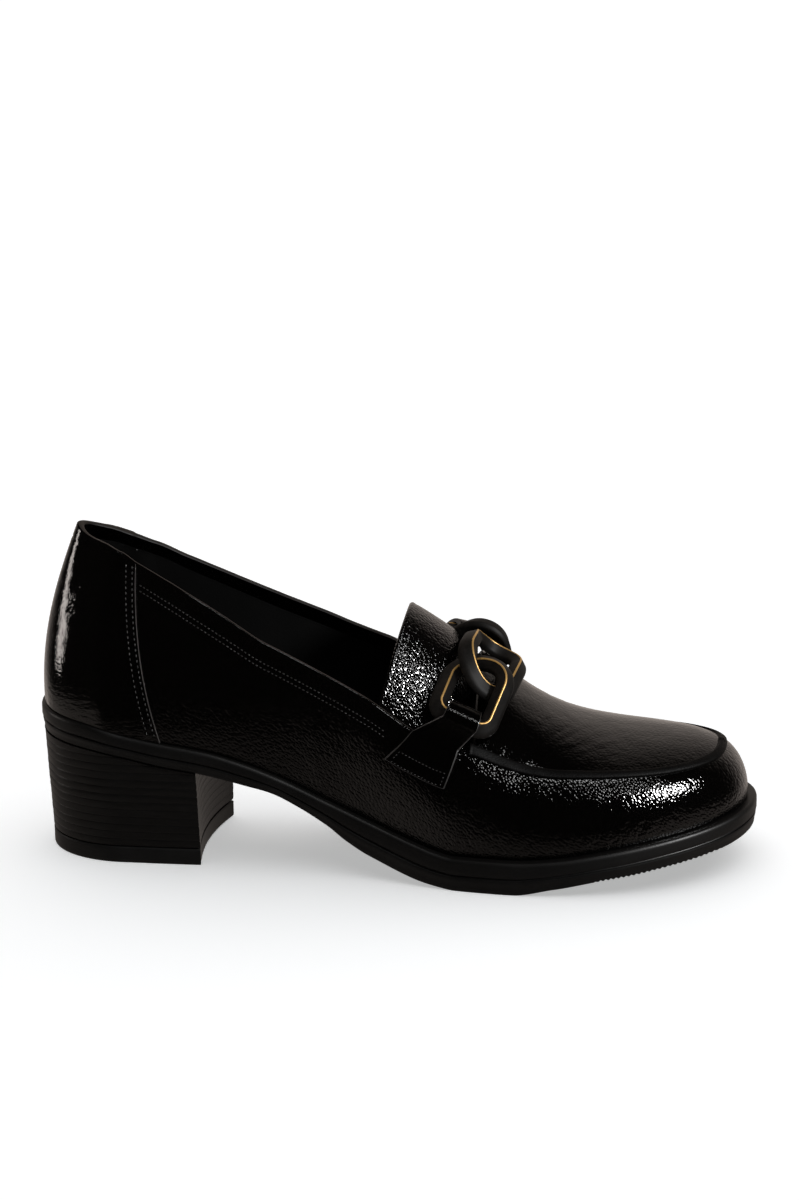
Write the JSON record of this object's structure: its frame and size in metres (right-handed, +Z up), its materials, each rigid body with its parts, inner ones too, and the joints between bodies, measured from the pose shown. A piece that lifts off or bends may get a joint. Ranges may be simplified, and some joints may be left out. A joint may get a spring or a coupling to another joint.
{
  "type": "loafer pump",
  "caption": "Right women's loafer pump with a block heel, apron toe, tongue and saddle straps joined by linked rings.",
  "frame": {"origin": "centre of the shoe's footprint box, on the floor", "axes": "+X from the heel to the toe, +Y towards the inner (medial) side, +Z up"},
  "size_m": [0.252, 0.0898, 0.1174],
  "materials": {
    "sole_rubber": "satin black rubber, lightly worn",
    "stacked_heel": "dark stacked layers, lightly polished",
    "heel_rubber": "satin black rubber",
    "lining": "matte black lining",
    "patent_leather": "black crinkled patent, glossy",
    "matte_black": "matte black coat with a fine worn gold ridge line"
  },
  "bodies": {
    "root": {"outsole": "sole_rubber", "heel": "stacked_heel", "heel_tip": "heel_rubber", "insole": "lining", "upper": "patent_leather", "tongue": "patent_leather", "strap_lateral": "patent_leather", "strap_medial": "patent_leather", "ring_lateral": "matte_black", "ring_middle": "matte_black", "ring_medial": "matte_black"}
  },
  "joints": []
}
